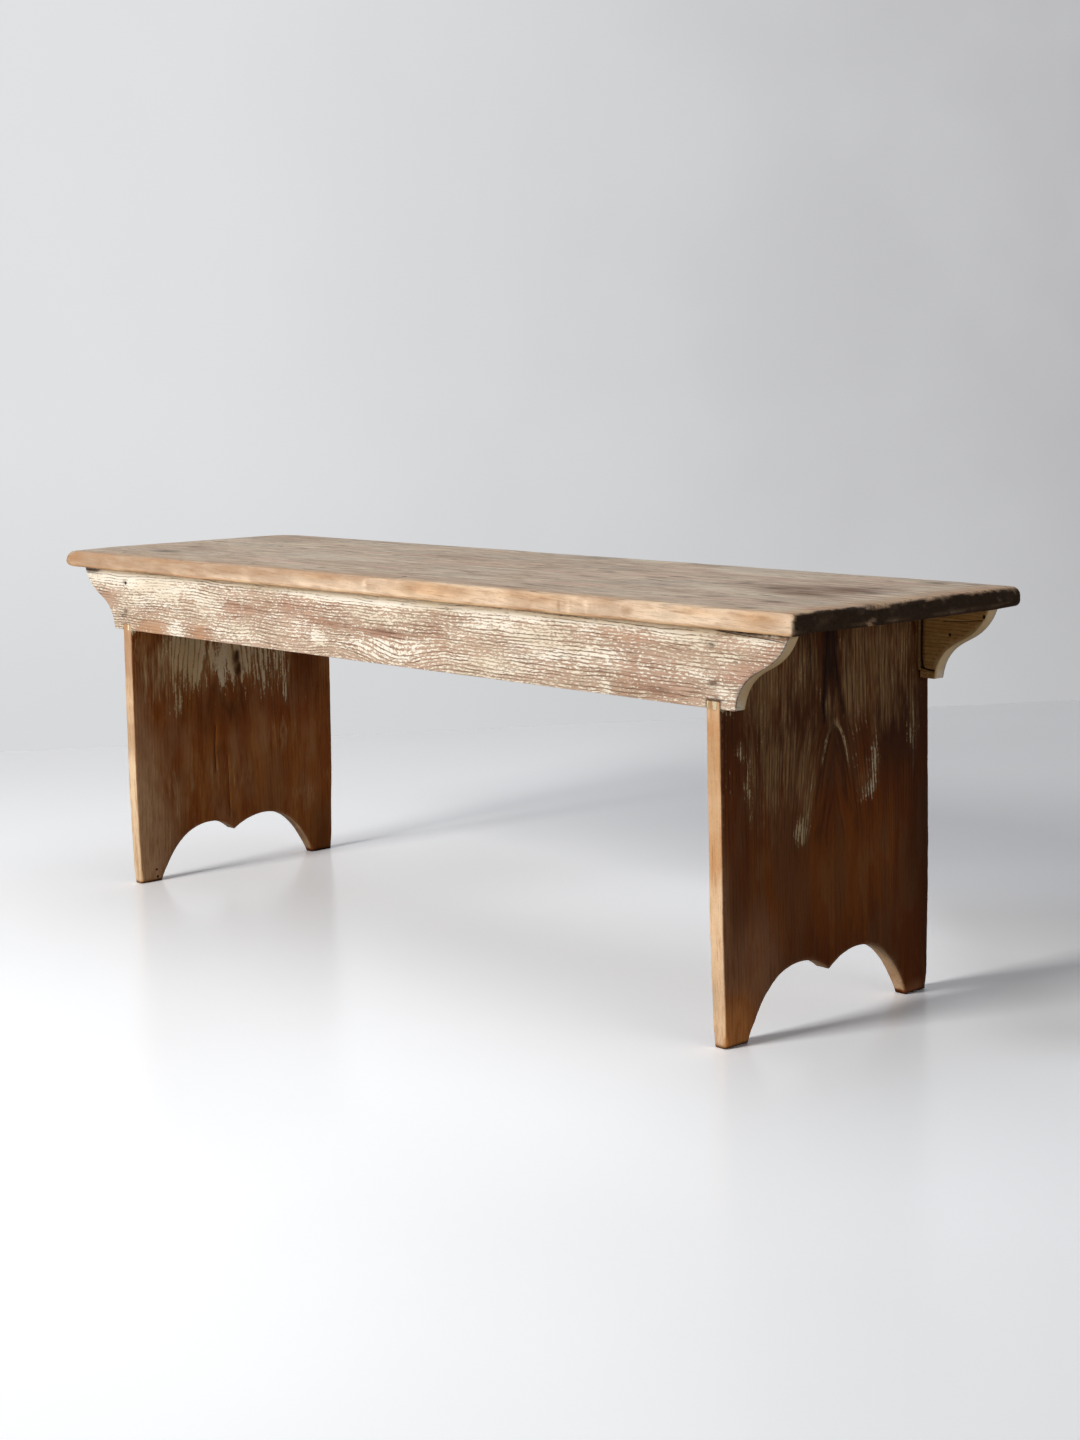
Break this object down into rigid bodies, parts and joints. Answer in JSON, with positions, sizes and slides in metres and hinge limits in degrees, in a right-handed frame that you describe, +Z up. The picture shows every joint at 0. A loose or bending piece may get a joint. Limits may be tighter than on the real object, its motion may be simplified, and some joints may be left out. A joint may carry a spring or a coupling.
{
  "type": "plank bench",
  "caption": "Nailed plank bench with a wide overhanging seat board, aprons with double-curved ends and upright board legs with arched feet.",
  "frame": {"origin": "on the floor, under the middle of the seat board", "axes": "+X along the bench to its right end, +Y from the front apron to the back apron, +Z up"},
  "size_m": [1.334, 0.364, 0.457],
  "materials": {
    "seat_wood": "bare pine, worn smooth and weathered grey-tan, with paler tan worn edges",
    "leg_wood": "dark brown old stain over pine, with thin worn streaks of faded cream paint along the grain",
    "painted_apron_wood": "cream paint flaked off along the grain, over pinkish-brown pine",
    "nail_iron": "dull dark oxidised iron"
  },
  "bodies": {
    "root": {"seat_board": "seat_wood", "left_leg": "leg_wood", "right_leg": "leg_wood", "front_apron": "painted_apron_wood", "back_apron": "painted_apron_wood", "front_apron_left_nails": "nail_iron", "front_apron_right_nails": "nail_iron", "back_apron_left_nails": "nail_iron", "back_apron_right_nails": "nail_iron", "seat_left_leg_nails": "nail_iron", "seat_right_leg_nails": "nail_iron", "seat_front_apron_nails": "nail_iron", "seat_back_apron_nails": "nail_iron"}
  },
  "joints": []
}
